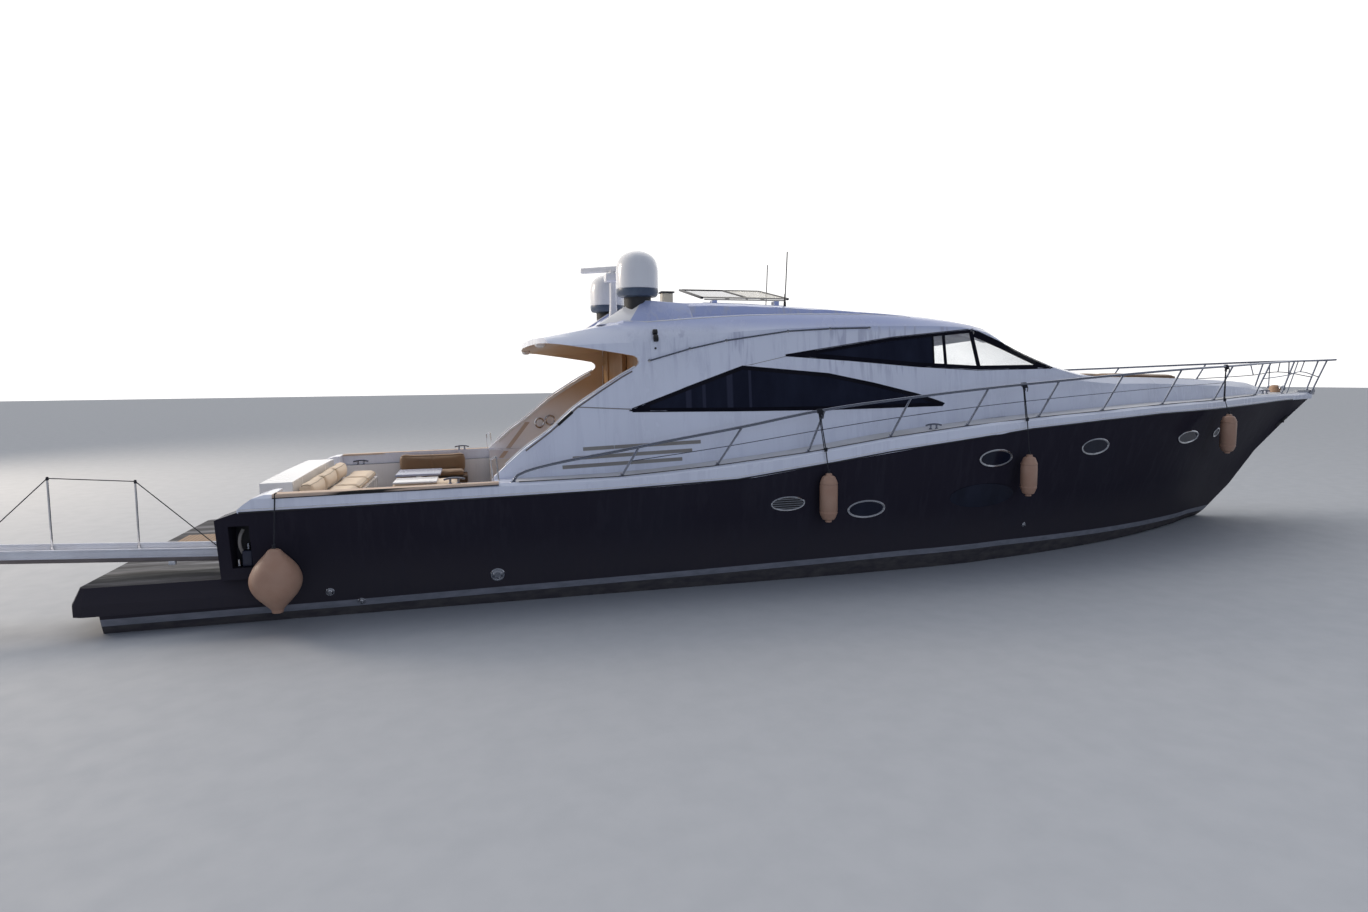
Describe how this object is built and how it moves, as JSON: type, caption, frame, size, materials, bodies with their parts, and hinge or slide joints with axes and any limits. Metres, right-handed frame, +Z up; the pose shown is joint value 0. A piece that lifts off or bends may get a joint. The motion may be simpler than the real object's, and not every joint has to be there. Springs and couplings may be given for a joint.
{
  "type": "motor yacht",
  "caption": "Hardtop motor yacht with an open aft cockpit, swim platform with a boarding ramp, glazed saloon, tilting sunroof, bow rail, fenders, twin propellers and rudders.",
  "frame": {"origin": "on the centreline at the waterline, under the aft end of the swim platform", "axes": "+X to the bow, +Y to port, +Z up"},
  "size_m": [24.5415, 5.867, 6.3503],
  "materials": {
    "hull_paint": "charcoal gloss topcoat over laminate",
    "white_gelcoat": "glossy white gelcoat",
    "teak": "oiled teak strips with dark caulking",
    "clear_glass": "lightly tinted laminated glass",
    "dark_glass": "dark tinted glass",
    "stainless": "polished stainless steel",
    "bronze": "cast bronze",
    "ramp_alloy": "polished alloy with a teak walkway",
    "black_plastic": "satin black",
    "fender_vinyl": "inflated beige vinyl",
    "cream_cloth": "cream marine upholstery",
    "tan_cloth": "tan marine upholstery",
    "engine": "painted casting"
  },
  "bodies": {
    "yacht": {"hull": "hull_paint", "engine_starboard": "engine", "engine_port": "engine", "deck_moulding": "white_gelcoat", "transom_moulding": "white_gelcoat", "swim_platform": "hull_paint", "cockpit_sole": "teak", "saloon_sole": "teak", "roof_moulding": "white_gelcoat", "windscreen": "clear_glass", "cabin_side_starboard": "white_gelcoat", "window_lower_starboard": "dark_glass", "window_upper_starboard": "dark_glass", "cabin_side_port": "white_gelcoat", "window_lower_port": "dark_glass", "window_upper_port": "dark_glass", "saloon_bulkhead": "white_gelcoat", "bulkhead_pane": "dark_glass", "satellite_dome_starboard": "white_gelcoat", "satellite_dome_port": "white_gelcoat", "radar_post": "white_gelcoat", "antenna_port": "black_plastic", "antenna_starboard": "black_plastic", "rail_starboard": "stainless", "rail_port": "stainless", "shaft_bracket_starboard": "bronze", "shaft_bracket_port": "bronze", "ramp_bracket": "stainless", "fender_ball": "fender_vinyl", "fender_aft": "fender_vinyl", "fender_middle": "fender_vinyl", "fender_forward": "fender_vinyl", "aft_bench": "white_gelcoat", "aft_bench_cushion": "cream_cloth", "aft_bench_back": "cream_cloth", "port_settee": "white_gelcoat", "port_settee_cushion": "tan_cloth", "port_settee_back": "tan_cloth", "cockpit_ottoman": "cream_cloth", "cockpit_table": "white_gelcoat", "saloon_steps": "teak", "helm_console": "black_plastic", "helm_seat": "cream_cloth", "saloon_sofa": "cream_cloth", "saloon_cabinet": "teak", "foredeck_sunpad": "tan_cloth", "windlass": "stainless", "bow_roller": "stainless"},
    "propeller_starboard": {"propeller_starboard": "bronze"},
    "propeller_port": {"propeller_port": "bronze"},
    "rudder_starboard": {"rudder_starboard": "bronze"},
    "rudder_port": {"rudder_port": "bronze"},
    "radar_scanner": {"radar_scanner": "white_gelcoat"},
    "boarding_ramp": {"boarding_ramp": "ramp_alloy"},
    "saloon_door": {"saloon_door": "dark_glass"},
    "sunroof_panel": {"sunroof_panel": "dark_glass"}
  },
  "joints": [
    {"name": "propeller_starboard_spin", "type": "hinge", "parent": "yacht", "child": "propeller_starboard", "pos_m": [1.65, -0.85, -0.98], "axis": [0.9872, 0, 0.1593], "continuous": true},
    {"name": "propeller_port_spin", "type": "hinge", "parent": "yacht", "child": "propeller_port", "pos_m": [1.65, 0.85, -0.98], "axis": [0.9872, 0, 0.1593], "continuous": true},
    {"name": "rudder_starboard_turn", "type": "hinge", "parent": "yacht", "child": "rudder_starboard", "pos_m": [0.8, -0.85, -0.6], "axis": [0, 0, 1], "range_deg": [-35, 35]},
    {"name": "rudder_port_turn", "type": "hinge", "parent": "yacht", "child": "rudder_port", "pos_m": [0.8, 0.85, -0.6], "axis": [0, 0, 1], "range_deg": [-35, 35]},
    {"name": "radar_spin", "type": "hinge", "parent": "yacht", "child": "radar_scanner", "pos_m": [6.93, 0, 4.75], "axis": [0, 0, 1], "continuous": true},
    {"name": "ramp_lift", "type": "hinge", "parent": "yacht", "child": "boarding_ramp", "pos_m": [1.48, -1.7, 0.775], "axis": [0, 1, 0], "range_deg": [-3, 60]},
    {"name": "saloon_door_slide", "type": "slide", "parent": "yacht", "child": "saloon_door", "axis": [0, 1, 0], "range_m": [0, 1.1]},
    {"name": "sunroof_tilt", "type": "hinge", "parent": "yacht", "child": "sunroof_panel", "pos_m": [8.975, -0.715, 4.215], "axis": [1, 0, 0], "range_deg": [-11, 25]}
  ],
  "couplings": [
    {"joint": "rudder_port_turn", "follows": "rudder_starboard_turn", "ratio": 1}
  ]
}
